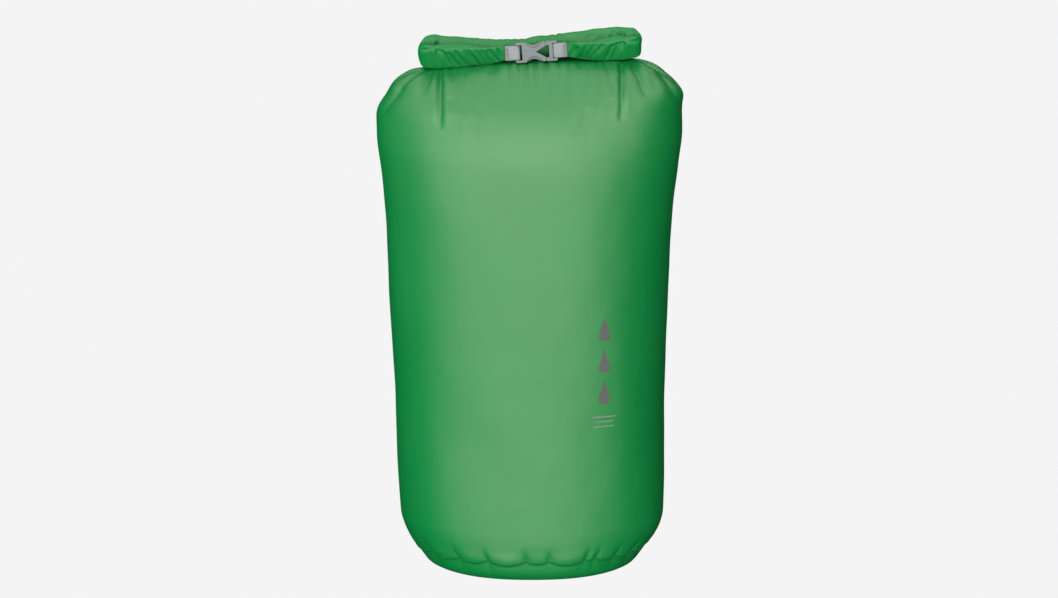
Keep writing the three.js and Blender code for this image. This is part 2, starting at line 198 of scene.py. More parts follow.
def grid_mesh(name, points, material, wraps=False, normals=None, fields=None, caps=False):
    """A mesh over a grid of points in millimetres, with smooth normals and named point attributes."""
    rows, columns = points.shape[:2]
    index = np.arange(rows * columns).reshape(rows, columns)
    faces = grid_faces(index, np.roll(index, -1, 1)) if wraps else grid_faces(index[:, :-1], index[:, 1:])
    points = points.reshape(-1, 3)
    fields = {key: values.ravel() for key, values in (fields or {}).items()}
    normals = None if normals is None else normals.reshape(-1, 3)
    if caps:
        points, faces = close_ends(points, faces, index)
        fields = {key: np.append(values, values[[0, -1]]) for key, values in fields.items()}
        if normals is not None:
            ends = points[-2:] - points[[0, index[-1, 0]]].mean(0)
            normals = np.concatenate([normals, ends / np.linalg.norm(ends, axis=1, keepdims=True)])
    piece = new_piece(name, (points * MM).tolist(), faces, material)
    for key, values in fields.items():
        field = piece.data.attributes.new(key, "FLOAT", "POINT")
        field.data.foreach_set("value", values.astype(np.float32))
    if normals is not None:
        piece.data.normals_split_custom_set_from_vertices(normals.tolist())
    return piece


def close_ends(points, faces, index):
    """Closes a tube's two ends with a fan of triangles round a middle point each."""
    first, last = len(points), len(points) + 1
    points = np.vstack([points, points[index[0]].mean(0), points[index[-1]].mean(0)])
    faces += [[first, b, a] for a, b in zip(index[0].tolist(), np.roll(index[0], -1).tolist())]
    faces += [[last, a, b] for a, b in zip(index[-1].tolist(), np.roll(index[-1], -1).tolist())]
    return points, faces


def face_outwards(piece):
    """Closes a tube's ends and turns all its faces to look outwards."""
    shape = bmesh.new()
    shape.from_mesh(piece.data)
    bmesh.ops.holes_fill(shape, edges=[e for e in shape.edges if e.is_boundary], sides=0)
    bmesh.ops.recalc_face_normals(shape, faces=shape.faces)
    for face in shape.faces:
        face.smooth = len(face.verts) < 5
    shape.to_mesh(piece.data)
    shape.free()


# ---------------- materials

PALE = 0.905  # how bright the background is
AMBIENT = 0.13  # how bright the room is as a light
YARN_PITCH = 0.0006  # in metres


class Nodes:
    """A short way to build a material's node tree."""

    def __init__(self, name):
        self.material = bpy.data.materials.new(name)
        self.material.use_nodes = True
        self.tree = self.material.node_tree
        self.shader = self.tree.nodes["Principled BSDF"]

    def add(self, kind, inputs=None, **settings):
        node = self.tree.nodes.new(kind)
        for key, value in settings.items():
            setattr(node, key, value)
        for key, value in (inputs or {}).items():
            self.feed(value, node.inputs[key])
        return node.outputs[0]

    def feed(self, value, socket):
        """Links a socket to another node's output, or sets its constant."""
        if isinstance(value, bpy.types.NodeSocket):
            self.tree.links.new(value, socket)
        else:
            socket.default_value = value

    def math(self, operation, a, b=0.0):
        return self.add("ShaderNodeMath", {0: a, 1: b}, operation=operation)

    def blend(self, factor, a, b):
        node = self.tree.nodes.new("ShaderNodeMix")
        node.data_type = "RGBA"
        for key, value in (("Factor", factor), ("A", a), ("B", b)):
            self.feed(value, next(s for s in node.inputs if s.name == key and s.enabled))
        return next(s for s in node.outputs if s.enabled)

    def attribute(self, name):
        node = self.tree.nodes.new("ShaderNodeAttribute")
        node.attribute_name = name
        return node.outputs["Fac"]

    def coordinates(self, scale=(1, 1, 1)):
        place = self.tree.nodes.new("ShaderNodeTexCoord").outputs["Object"]
        return self.add("ShaderNodeMapping", {"Vector": place, "Scale": scale})

    def noise(self, vector, scale, detail=3.0, roughness=0.5):
        return self.add("ShaderNodeTexNoise",
                        {"Vector": vector, "Scale": scale, "Detail": detail, "Roughness": roughness})

    def threads(self, across, pitch):
        """A rounded wave for threads a pitch apart, in metres."""
        return self.math("SINE", self.math("MULTIPLY", across, FULL_TURN / pitch))

    def bump(self, height, distance, strength, normal=None):
        inputs = {"Height": height, "Distance": distance, "Strength": strength}
        if normal is not None:
            inputs["Normal"] = normal
        return self.add("ShaderNodeBump", inputs)

    def finish(self, inputs):
        """Sets the shader's inputs, and gives the material."""
        for key, value in inputs.items():
            self.feed(value, self.shader.inputs[key])
        return self.material


def cloth_material(name, deep, pale, roughness=0.35, gloss=1.0):
    """Thin plain-woven nylon with a satin coating."""
    nodes = Nodes(name)
    warp = nodes.threads(nodes.attribute("across"), YARN_PITCH)
    weft = nodes.threads(nodes.attribute("along"), YARN_PITCH)
    weave = nodes.math("MULTIPLY", warp, weft)
    place = nodes.coordinates()
    clouds = nodes.noise(place, 9.0, detail=2.0)
    slubs = nodes.noise(nodes.coordinates((300, 300, 40)), 3.0, detail=2.0)
    grain = nodes.math("ADD", nodes.math("MULTIPLY", clouds, 0.75), nodes.math("MULTIPLY", slubs, 0.25))
    colour = nodes.blend(grain, deep, pale)
    crinkle = nodes.noise(nodes.coordinates((1, 1, 0.45)), 120.0, detail=4.0, roughness=0.55)
    coarse = nodes.bump(crinkle, 0.0012, 0.16)
    normal = nodes.bump(weave, 0.00005, 0.35, coarse)
    rough = nodes.add("ShaderNodeMapRange",
                      {"Value": clouds, "To Min": roughness - 0.04, "To Max": roughness + 0.06})
    return nodes.finish({
        "Specular IOR Level": gloss, "IOR": 1.58, "Specular Tint": (1, 1, 0.8, 1),
        "Base Color": colour, "Roughness": rough, "Normal": normal})


def webbing_material():
    """Narrow nylon webbing: a twill of pale grey threads."""
    nodes = Nodes("grey_webbing")
    along, across = nodes.attribute("along"), nodes.attribute("across")
    slant = nodes.math("ADD", along, nodes.math("PINGPONG", across, 0.0019))
    rib = nodes.threads(slant, 0.0011)
    thread = nodes.threads(across, 0.00062)
    weave = nodes.math("ADD", nodes.math("MULTIPLY", rib, 0.6), nodes.math("MULTIPLY", thread, 0.4))
    fibres = nodes.noise(nodes.coordinates((900, 900, 900)), 1.0, detail=2.0)
    shade = nodes.add("ShaderNodeMapRange", {"Value": weave, "From Min": -1.0, "From Max": 1.0})
    mix = nodes.math("ADD", nodes.math("MULTIPLY", shade, 0.7), nodes.math("MULTIPLY", fibres, 0.3))
    colour = nodes.blend(mix, (0.22, 0.225, 0.24, 1), (0.44, 0.445, 0.46, 1))
    normal = nodes.bump(weave, 0.00016, 0.7)
    return nodes.finish({"Roughness": 0.72, "Sheen Weight": 0.15, "Base Color": colour, "Normal": normal})


def plastic_material():
    """Moulded acetal with a fine spark-eroded texture."""
    nodes = Nodes("moulded_plastic")
    place = nodes.coordinates()
    speckle = nodes.noise(place, 2600.0)
    flow = nodes.noise(nodes.coordinates((1, 1, 3)), 90.0)
    colour = nodes.blend(flow, (0.165, 0.182, 0.19, 1), (0.228, 0.245, 0.25, 1))
    rough = nodes.add("ShaderNodeMapRange", {"Value": flow, "To Min": 0.34, "To Max": 0.5})
    normal = nodes.bump(speckle, 0.00004, 0.5)
    return nodes.finish(
        {"Specular IOR Level": 0.45, "Base Color": colour, "Roughness": rough, "Normal": normal})


def ink_material(name, deep, pale):
    """Screen-printed ink that shows a little of the weave."""
    nodes = Nodes(name)
    worn = nodes.noise(nodes.coordinates(), 700.0)
    colour = nodes.blend(worn, deep, pale)
    normal = nodes.bump(nodes.noise(nodes.coordinates(), 1600.0), 0.00004, 0.5)
    return nodes.finish(
        {"Roughness": 0.55, "Specular IOR Level": 0.3, "Base Color": colour, "Normal": normal})


def thread_material(name, deep, pale):
    """Twisted polyester thread."""
    nodes = Nodes(name)
    twist = nodes.noise(nodes.coordinates(), 1800.0, detail=1.0)
    colour = nodes.blend(twist, deep, pale)
    normal = nodes.bump(twist, 0.0001, 0.6)
    return nodes.finish({"Roughness": 0.6, "Sheen Weight": 0.2, "Base Color": colour, "Normal": normal})


def floor_material():
    """A pale sweep lit evenly from below, as on a light table."""
    return Nodes("pale_floor").finish({
        "Base Color": (0, 0, 0, 1), "Roughness": 0.95, "Specular IOR Level": 0.0,
        "Emission Color": (1, 1, 1, 1), "Emission Strength": PALE})


DYE = (0.0, 0.19, 0.037, 1), (0.002, 0.228, 0.049, 1)  # the cloth's green where it is deepest and palest
NYLON = cloth_material("coated_nylon", *DYE)
ROLLED_NYLON = cloth_material("rolled_nylon", *DYE, gloss=0.42)
TAPE = cloth_material("seam_tape", (0.13, 0.33, 0.17, 1), (0.17, 0.38, 0.21, 1))
STRIP = cloth_material("mouth_strip", (0.010, 0.10, 0.025, 1), (0.015, 0.14, 0.035, 1), roughness=0.6)
WEBBING = webbing_material()
PLASTIC = plastic_material()
DARK_INK = ink_material("dark_ink", (0.085, 0.088, 0.088, 1), (0.12, 0.123, 0.123, 1))
FAINT_INK = ink_material("faint_ink", (0.17, 0.21, 0.18, 1), (0.2, 0.25, 0.21, 1))
GREEN_THREAD = thread_material("green_thread", (0.0, 0.12, 0.03, 1), (0.0, 0.16, 0.04, 1))
GREY_THREAD = thread_material("grey_thread", (0.25, 0.25, 0.26, 1), (0.33, 0.33, 0.34, 1))


# ---------------- the filled bag


def softened(points):
    """The profile at small steps, with its corners rounded above the base."""
    z = np.arange(PROFILE[0, 0], PROFILE[-1, 0] + PROFILE_STEP, PROFILE_STEP)
    plain = through(points, z)
    reach = np.arange(-3 * SOFTENING, 3 * SOFTENING + PROFILE_STEP, PROFILE_STEP)
    weight = np.exp(-((reach / SOFTENING) ** 2))
    padded = np.pad(plain, len(reach) // 2, mode="edge")
    smooth = np.convolve(padded, weight / weight.sum(), mode="valid")
    base_end, wall_start, wall_end, neck_start = SOFTENS
    mix = smoothstep(base_end, wall_start, z) * smoothstep(neck_start, wall_end, z)
    return z, plain + (smooth - plain) * mix


STEPS, WIDTHS = softened(PROFILE[:, [0, 1]])
STEPS, DEPTHS = softened(PROFILE[:, [0, 2]])


def section(z):
    """Half-width, half-depth and squareness of the bag's outside at a height."""
    low, high = SQUARENESS
    power = low + (high - low) * smoothstep(*FLATTENS, z)
    return np.interp(z, STEPS, WIDTHS), np.interp(z, STEPS, DEPTHS), power


def bag_surface(theta, z):
    """Points of the smooth bag at angles round it and heights, before any crease."""
    width, depth, power = section(z)
    across = np.cos(theta)
    x = width * across
    y = np.sign(np.sin(theta)) * depth * np.clip(1 - np.abs(across) ** power, 0, 1) ** (1 / power)
    crown = CROWN * np.exp(-((x / CROWN_REACH) ** 2))
    crown = crown * smoothstep(*CROWN_RISES, z) * smoothstep(*CROWN_SINKS, z)
    lift = x * math.tan(LEAN) * smoothstep(LEANS_FROM, NECK_Z, z) + crown
    for side, (level, reach, share) in ((-1, LEFT_SHOULDER), (1, RIGHT_SHOULDER)):
        x = x * (1 + share * np.exp(-(((z - level) / reach) ** 2)) * smoothstep(0, 90, side * x))
    return np.stack([x + SWAY * (1 - smoothstep(0, SWAY_Z, z)), y, z + lift], -1)


def down_from_neck(z, half):
    """Distance over the cloth from the neck down to each height, for a run of half-widths or half-depths."""
    length = np.concatenate([[0], np.cumsum(np.hypot(np.diff(z), np.diff(half)))])
    return np.interp(NECK_Z, z, length) - length


# Creases pressed into the front, each from (x, distance below the neck) to the same, with width and depth.
FRONT_CREASES = [
    (-92, -6, -89.8, 105, 2.2, 6.4),  # the deep pleat under each end of the roll
    (96.2, -2, 93.7, 97, 2.1, 5.8),
    (101, 0, 98.6, 62, 3.0, 2.2),
    (-84, 0, -77, 38, 3.0, 2.6),
    (-97.6, 2, -109, 60, 2.9, 5.6),
    (-101, 0, -136, 48, 2.5, 4.9),
    (-128, 36, -154, 92, 3.4, 4.2),
    (-112, -5, -130, 17, 2.4, 3.0),
    (103.4, 0, 119.5, 70, 2.7, 5.8),
    (107, -3, 136, 32, 2.4, 4.8),
    (115, -4, 141, 38, 2.8, 3.2),
    (132, 26, 159, 86, 3.4, 3.8),
    (-2, -2, -2.5, 58, 1.8, 3.4),
    (-20, 0, -18, 48, 1.7, 2.3),
    (-11, 0, -10, 42, 1.5, 2.2),
    (7, 0, 8, 50, 1.6, 2.4),
    (18, 0, 20, 42, 1.6, 1.8),
    (30, 0, 33, 50, 1.9, 1.5),
    (-74, 4, -66, 92, 4.2, 1.5),
    (-58, 14, -52, 112, 4.0, 1.2),
    (-40, 6, -33, 108, 4.2, 1.1),
    (-18, 20, -14, 100, 3.6, 0.8),
    (26, 16, 22, 96, 3.8, 0.8),
    (46, 8, 40, 108, 4.2, 1.1),
    (62, 12, 55, 104, 4.0, 1.2),
    (78, 4, 71, 88, 4.0, 1.4),
]


def fan(side, middle, count, depth):
    """Slanting creases beside a pleat, spreading down and outwards from under it."""
    made = []
    for k in range(count):
        x = side * (middle - 7.5 * k + RANDOM.uniform(-2, 2))
        top = RANDOM.uniform(50, 90)
        length = RANDOM.uniform(24, 44)
        made.append((x, top, x - side * length * RANDOM.uniform(0.28, 0.42), top + length,
                     RANDOM.uniform(2.4, 3.6), depth * RANDOM.uniform(0.6, 1.2)))
    return made


FRONT_CREASES += fan(-1, 84, 5, 1.1) + fan(1, 86, 4, 0.9)


def gathers(count, low, high, longest, deepest):
    """Fine creases that fan down from the neck between two places across the bag."""
    made = []
    for _ in range(count):
        x = RANDOM.uniform(low, high)
        length = RANDOM.uniform(0.3, 1.0) * longest
        made.append((x, RANDOM.uniform(-4, 6), x * (1 + 0.0022 * length) + RANDOM.uniform(-4, 4), length,
                     RANDOM.uniform(1.2, 2.4), RANDOM.uniform(0.3, 1.0) * deepest))
    return made


FRONT_CREASES += gathers(34, -104, 106, 70, 1.1)
BACK_CREASES = gathers(60, -108, 108, 95, 1.5) + [(-90, 0, -93, 100, 2.6, 4.0), (88, 0, 92, 110, 2.6, 4.2)]
SIDE_CREASES = gathers(22, -20, 20, 110, 1.5)

CREASES_END = (534, 528)  # heights over which the creases die away in the neck

# Where the base seam is puckered in front, across the bag from its middle.
FRONT_PUCKERS = (-100.8, -72.8, -42.9, -3.4, 20.6, 58.0, 68.4, 89.1, 106.4)
PUCKER_SPACING = (18, 42)
SEAM_DEPTH = 1.5  # how far the base seam is drawn in
SEAM_RISE = 4.4  # how far a pucker lifts it
LOBE_DROP = 4.6  # how far the cloth sags between two puckers
LOBE_BULGE = 1.3  # and how far it swells there, above and below the seam
BASE_BULGE = 0.4
DART_DEPTH = 0.9  # the short dart above each pucker: its depth, height and width
DART_HEIGHT = 4.5
DART_WIDTH = 3.2
SIDE_SEAM_DEPTH = 0.9
SIDE_SEAM_WIDTH = 1.3

# Spacing of the wall's rows: (distance below the neck, gap) and (height above the base seam, gap).
ROW_GAPS = [(-20, 1.45), (150, 1.45), (210, 4.8)]
SEAM_ROW_GAPS = [(2, 0.5), (30, 1.5), (60, 4.8)]


def puckers(ring):
    """Places of the puckers along the base seam, and the seam's length: the front's, then random ones."""
    along = distances(np.vstack([ring, ring[:1]]))
    total = along[-1]
    front = ring[:, 1] < 0
    order = np.argsort(ring[front, 0])
    places = list(np.interp(FRONT_PUCKERS, ring[front, 0][order], along[:-1][front][order]))
    place, last = max(places), min(places) + total
    while last - place > PUCKER_SPACING[1] + PUCKER_SPACING[0]:
        place += RANDOM.uniform(*PUCKER_SPACING)
        places.append(place)
    places = np.sort(np.array(places) % total)
    return along[:-1], np.concatenate([places, [places[0] + total]]), total


def scallops(ring):
    """For each column: how far through the lobe between two puckers it lies, and the lobe's length."""
    along, places, total = puckers(ring)
    s = np.where(along < places[0], along + total, along)
    k = np.clip(np.searchsorted(places, s, side="right") - 1, 0, len(places) - 2)
    length = places[k + 1] - places[k]
    return (s - places[k]) / length, length


def bag_rows():
    """Heights of the wall's rows, close together over the cloth where it is creased."""
    z = np.arange(SEAM_Z, PROFILE[-1, 0] + 0.1, 0.1)
    down = down_from_neck(z, section(z)[1])
    gap = np.minimum(np.interp(down, *np.transpose(ROW_GAPS)),
                     np.interp(z - SEAM_Z, *np.transpose(SEAM_ROW_GAPS)))
    rows = np.concatenate([[0], np.cumsum(-np.diff(down) / gap[1:])])
    return np.interp(np.arange(int(rows[-1]) + 1) * rows[-1] / int(rows[-1]), rows, z)


def pressed_creases(wall, z):
    """How far the creases press into the wall, and each point's place on the front, across and down."""
    width, depth, _ = section(z)
    width, depth = width[:, None], depth[:, None]
    down_front = np.broadcast_to(down_from_neck(z, depth[:, 0])[:, None], wall.shape[:2])
    down_side = np.broadcast_to(down_from_neck(z, width[:, 0])[:, None], wall.shape[:2])
    front_place = np.stack([wall[..., 0], down_front], -1)
    side_place = np.stack([wall[..., 1], down_side], -1)
    facing = wall[..., 1] / np.maximum(depth, 1)
    sideways = smoothstep(0.72, 0.93, np.abs(wall[..., 0]) / width)
    pressed = crease_depth(front_place, FRONT_CREASES, wander=0.5) * smoothstep(0.05, 0.3, -facing)
    pressed += crease_depth(front_place, BACK_CREASES) * smoothstep(0.05, 0.3, facing)
    pressed += crease_depth(side_place, SIDE_CREASES) * sideways
    return pressed, front_place


def side_seam(wall, z):
    """How far the seam down each side is drawn in."""
    at_side = smoothstep(0.88, 0.97, np.abs(wall[..., 0]) / section(z)[0][:, None])
    return SIDE_SEAM_DEPTH * np.exp(-(wall[..., 1] / SIDE_SEAM_WIDTH) ** 2) * at_side


def creased_wall(theta, bulge, cusp, calm):
    """The wall from the base seam to the neck's top, as a grid, and its distance down from the neck."""
    z = bag_rows()
    wall = bag_surface(theta[None], z[:, None])
    normal = grid_normals(wall, wraps=True)
    pressed, place = pressed_creases(wall, z)
    soft = ripples(place, 9, 120, 0.75, (1, 0.7)) + ripples(place, 8, 42, 0.13)
    soft += ripples(place, 10, 15, 0.22, (1, 0.4)) * smoothstep(140, 20, place[..., 1])
    height = z[:, None] - SEAM_Z
    neck = smoothstep(*CREASES_END, z)[:, None]
    hem = LOBE_BULGE * bulge * np.exp(-((height - 7) / 8) ** 2) - SEAM_DEPTH * np.exp(-(height / 1.3) ** 2)
    dart = DART_DEPTH * cusp * (height / DART_HEIGHT) * np.exp(1 - height / DART_HEIGHT)
    move = (soft * smoothstep(0, 26, height) - pressed) * neck + hem * calm - dart - side_seam(wall, z)
    wall = wall + normal * move[..., None]
    wall[..., 2] += (SEAM_RISE - LOBE_DROP * bulge) * np.exp(-(height / 13) ** 2)
    return wall, place[..., 1]


def creased_base(theta, bulge, calm, edge):
    """The base from its middle out to the seam, as a grid."""
    z = np.concatenate([[SEAM_Z], SEAM_Z * (1 - np.linspace(0.04, 1, 26))])
    base = bag_surface(theta[None], z[:, None])
    normal = grid_normals(base[::-1], wraps=True)[::-1]
    drop = SEAM_Z - z[:, None]
    hem = BASE_BULGE * bulge * np.exp(-((drop - 6) / 5) ** 2) - SEAM_DEPTH * np.exp(-(drop / 9) ** 2)
    base = base + normal * (hem * calm)[..., None]
    lift = (SEAM_RISE - LOBE_DROP * bulge) * np.exp(-(drop / 9) ** 2)
    base[..., 2] += lift * smoothstep(0, 6, z)[:, None]
    base[..., 2] = np.maximum(base[..., 2], 0)
    base[0] = edge
    shrink = np.linspace(0.93, 0.02, 16)[:, None, None]
    floor = base[-1][None] * np.array([1, 1, 0]) * shrink
    return np.concatenate([base, floor])[::-1]


def creased_bag():
    """The whole bag as two grids, wall and base, with their normals and the distance down the cloth."""
    theta = np.linspace(0, FULL_TURN, COLUMNS, endpoint=False)
    t, lobe = scallops(bag_surface(theta, np.full(COLUMNS, SEAM_Z)))
    bulge = 4 * t * (1 - t) * np.clip(lobe / 40, 0.25, 1)
    cusp = np.exp(-(np.minimum(t, 1 - t) * lobe / DART_WIDTH) ** 2)
    calm = 1 - 0.65 * smoothstep(0.8, 0.97, np.abs(np.cos(theta)))
    wall, down = creased_wall(theta, bulge, cusp, calm)
    base = creased_base(theta, bulge, calm, wall[0])
    return {
        "wall": wall, "wall_normals": grid_normals(wall, wraps=True), "down": down,
        "base": base, "base_normals": grid_normals(base, wraps=True),
    }


def bag_pieces(cloth):
    """The front, back and base panels, cut from the creased bag."""
    wall, normals = cloth["wall"], cloth["wall_normals"]
    half = COLUMNS // 2
    made = {}
    for name, first in (("back", 0), ("front", half)):
        columns = np.arange(first, first + half + 1) % COLUMNS
        around = np.broadcast_to((first + np.arange(half + 1)) * COLUMN_PITCH * MM, (len(wall), half + 1))
        made[name] = grid_mesh(
            f"{name}_cloth", wall[:, columns], NYLON, normals=normals[:, columns],
            fields={"across": around, "along": cloth["down"][:, columns] * MM})
    base = cloth["base"]
    made["base"] = grid_mesh(
        "base_cloth", base, NYLON, wraps=True, normals=cloth["base_normals"],
        fields={"across": base[..., 0] * MM, "along": base[..., 1] * MM})
    close_ring(made["base"])
    return made


def close_ring(piece):
    """Fills the small hole left in the middle of the base."""
    shape = bmesh.new()
    shape.from_mesh(piece.data)
    hole = [e for e in shape.edges if e.is_boundary and e.verts[0].co.xy.length < 0.02]
    bmesh.ops.holes_fill(shape, edges=hole, sides=0)
    shape.to_mesh(piece.data)
    shape.free()


cloth = creased_bag()
panels = bag_pieces(cloth)
for side, panel in panels.items():
    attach(panel, "bag")
    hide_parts(f"{side}_panel")

TAPE_THICKNESS = 0.15
TAPE_PITCH = (1.7, 1.5)  # spacing of its columns and rows, for its weave
TAPE_HALF = 5  # half of a side tape's width, in columns
TAPE_TOP = 495
SIDE_TAPE_LOW = SEAM_Z + 12
HEM_TAPE_HIGH = SEAM_Z + 10
SIDE_TAPE_INSET, HEM_TAPE_INSET = 1.2, 2.4  # how far inside the wall they lie


def inner_tape(name, columns, rows, inset):
    """A strip of seam tape that follows the wall from inside."""
    wall, normals = cloth["wall"], cloth["wall_normals"]
    points = wall[rows][:, columns] - normals[rows][:, columns] * inset
    across = np.broadcast_to(np.arange(len(columns)) * TAPE_PITCH[0] * MM, points.shape[:2])
    along = np.broadcast_to(np.arange(points.shape[0])[:, None] * TAPE_PITCH[1] * MM, points.shape[:2])
    wraps = len(columns) == COLUMNS
    piece = grid_mesh(name, points, TAPE, wraps=wraps, fields={"across": across, "along": along})
    piece.modifiers.new("thickness", "SOLIDIFY").thickness = TAPE_THICKNESS * MM
    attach(piece, "bag")
    return piece


heights = bag_rows()
tape_rows = np.flatnonzero((heights > SIDE_TAPE_LOW) & (heights < TAPE_TOP))
for side, middle in (("right", 0), ("left", COLUMNS // 2)):
    columns = (middle + np.arange(-TAPE_HALF, TAPE_HALF + 1)) % COLUMNS
    strip = inner_tape(f"{side}_seam_tape", columns, tape_rows, SIDE_TAPE_INSET)
    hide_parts(f"{side}_side_tape")
hem_rows = np.flatnonzero(heights < HEM_TAPE_HIGH)
hem_tape = inner_tape("base_seam_tape", np.arange(COLUMNS), hem_rows, HEM_TAPE_INSET)
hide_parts("base_tape")

# ---------------- the rolled closure

ROLL_HALF = 106.0  # the roll's half-length, up to the turns
TURN = 5.75  # radius of the turn's middle line
TIPS = {-1: -22.8, 1: 36.0}  # where each folded-over end meets its webbing
FLAP_Y = -11.0  # how far in front of the roll each folded-over end lies
SPINE_HALF = 5.0  # half of the roll's thickness
SPINE_STATIONS = 196
GIRTH_PITCH = 0.75  # spacing of the roll's points round its girth, for its weave
EYE = (98.5, -6.5)  # where a folded-over end's creases meet, out from the middle and up from the hinge

# Top and bottom of the roll along it, from its hinge line.
ROLL_TOP = [(-106, 6.6), (-98, 7.6), (-60, 3.2), (-18, 0.6), (30, 4.0), (70, 7.4), (95, 8.4), (106, 7.2)]
ROLL_BOTTOM = [(-106, -24.6), (-60, -23.5), (-18, -18.8), (30, -19.5), (70, -23.5), (106, -24.6)]
# Middle height, half-height and half-thickness of each folded-over end, from its turn (0) to its tip (1).
END_SHAPE = {
    -1: [(0, -14.0, 12.2, 5.3), (0.12, -15.6, 11.2, 5.6), (0.5, -15.8, 10.2, 5.2), (0.85, -14.6, 8.4, 3.8),
         (0.95, -13.9, 7.5, 2.2), (0.97, -13.8, 7.0, 1.6), (1, -13.8, 7.0, 1.5)],
    1: [(0, -12.8, 11.4, 5.3), (0.12, -14.4, 10.6, 5.6), (0.5, -15.2, 10.0, 5.2), (0.85, -13.4, 8.6, 3.8),
        (0.94, -12.6, 7.5, 2.2), (0.96, -12.4, 7.0, 1.6), (1, -12.4, 7.0, 1.5)],
}
TURN_PINCH = 0.16  # how much lower the roll is in the middle of a turn
HANG = 0.62  # how much thinner the front of a folded-over end is at its bottom edge
NOD = 4.2  # how far its top leans forward of its middle
HOOD = (3.0, 4.5)  # how far its top edge reaches back and up over the roll
HOOD_START = 0.3  # the share of that reached in the turn
HOOD_ENDS = (0.35, 0.82)  # and where along it that dies away


def to_row(points):
    """From the roll's own leaning frame to the row frame."""
    c, s = math.cos(LEAN), math.sin(LEAN)
    x, y, z = points[..., 0], points[..., 1], points[..., 2]
    return np.stack([x * c - z * s, y, x * s + z * c], -1) + HINGE


def spine_stations(x):
    """Middle line and section of the roll itself."""
    top, bottom = through(ROLL_TOP, x), through(ROLL_BOTTOM, x)
    zero = np.zeros_like(x)
    return np.stack([
        x, zero, (top + bottom) / 2, (top - bottom) / 2, zero + SPINE_HALF, zero, zero + 1, zero, zero], -1)


def end_stations(side, turn_count=22, flap_count=84):
    """Middle line and section from the end of the roll, round the turn and along the folded-over end."""
    keys = END_SHAPE[side]
    start = spine_stations(np.array([side * ROLL_HALF]))[0]
    phi = np.linspace(0, math.pi, turn_count + 1)[1:-1]
    ease = smoothstep(0, math.pi, phi)
    middle, high, thick = (start[k + 1] + (keys[0][k] - start[k + 1]) * ease for k in (1, 2, 3))
    drawn_in = 1 - TURN_PINCH * np.sin(phi) ** 2
    turn = np.stack([
        side * (ROLL_HALF + TURN * np.sin(phi)), FLAP_Y / 2 * (1 - np.cos(phi)), middle, high * drawn_in,
        thick, side * np.sin(phi), np.cos(phi), ease * HANG, HOOD_START * smoothstep(0.35, 1, ease)], -1)
    t = np.linspace(0, 1, flap_count)
    x = side * ROLL_HALF + (TIPS[side] - side * ROLL_HALF) * t
    shape = [through([(key[0], key[k]) for key in keys], t) for k in (1, 2, 3)]
    hang = HANG * smoothstep(1, 0.75, t)
    hood = (HOOD_START + (1 - HOOD_START) * smoothstep(0, 0.22, t)) * (1 - smoothstep(*HOOD_ENDS, t))
    flap = np.stack([x, FLAP_Y + 0 * t, *shape, 0 * t, 0 * t - 1, hang, hood], -1)
    return turn, flap


def tube(stations, count=76, power=2.4):
    """A flattened tube through stations.

    Each station is its middle (x, y, z), half-height, half-thickness, way out (x, y), hang and hood.
    """
    angle = np.linspace(0, FULL_TURN, count, endpoint=False)
    out, up = (np.sign(v) * np.abs(v) ** (2 / power) for v in (np.cos(angle), np.sin(angle)))
    x, y, z, high, thick, nx, ny, hang, hood = (stations[:, i, None] for i in range(9))
    lean = NOD * hang / HANG * up
    over = hood * smoothstep(0.1, 1.0, up) * smoothstep(0.75, -0.45, out)
    out = out * (1 - hang * np.clip(out, 0, 1) ** 0.5 * (0.5 - 0.85 * up))
    return np.stack([x + nx * thick * out, y + ny * thick * out - lean + HOOD[0] * over,
                     z + high * up + HOOD[1] * over], -1)


def rays(side, eye, angles, reach, depth):
    """Creases that spread from an eye towards the roll's middle, at angles up or down."""
    made = []
    for angle in np.radians(angles):
        length = RANDOM.uniform(*reach)
        x, z = eye[0] - side * length * math.cos(angle), eye[1] + length * math.sin(angle)
        made.append((*eye, x, z, 1.0, RANDOM.uniform(*depth)))
    return made


def flap_creases(side):
    """Slanting creases over a folded-over end, spreading from where it turns."""
    made = rays(side, (side * EYE[0], EYE[1]), np.linspace(-12, -80, 7), (9, 20), (1.3, 2.2))
    made.append((side * 114, EYE[1], side * 97, EYE[1] + 1, 1.2, 2.4))
    place = side * 94
    while abs(place - TIPS[side]) > 10:
        lean = RANDOM.uniform(11, 20)
        made.append((place, RANDOM.uniform(-8, -3), place - side * lean, RANDOM.uniform(-30, -24),
                     RANDOM.uniform(1.1, 1.9), RANDOM.uniform(1.8, 3.2)))
        place -= side * RANDOM.uniform(5, 10)
    return made


def spine_creases():
    """Fine slanting creases over the roll, steepest towards its ends."""
    made = []
    for side in (-1, 1):
        made += rays(side, (side * EYE[0], EYE[1] + 0.5), np.linspace(20, 85, 6), (8, 15), (1.1, 1.9))
    for _ in range(34):
        x = RANDOM.uniform(-100, 100)
        made.append((x, RANDOM.uniform(2, 8), x - 0.12 * x + RANDOM.uniform(-3, 3),
                     RANDOM.uniform(-14, -2), RANDOM.uniform(1.0, 2.2), RANDOM.uniform(0.2, 0.7)))
    return made


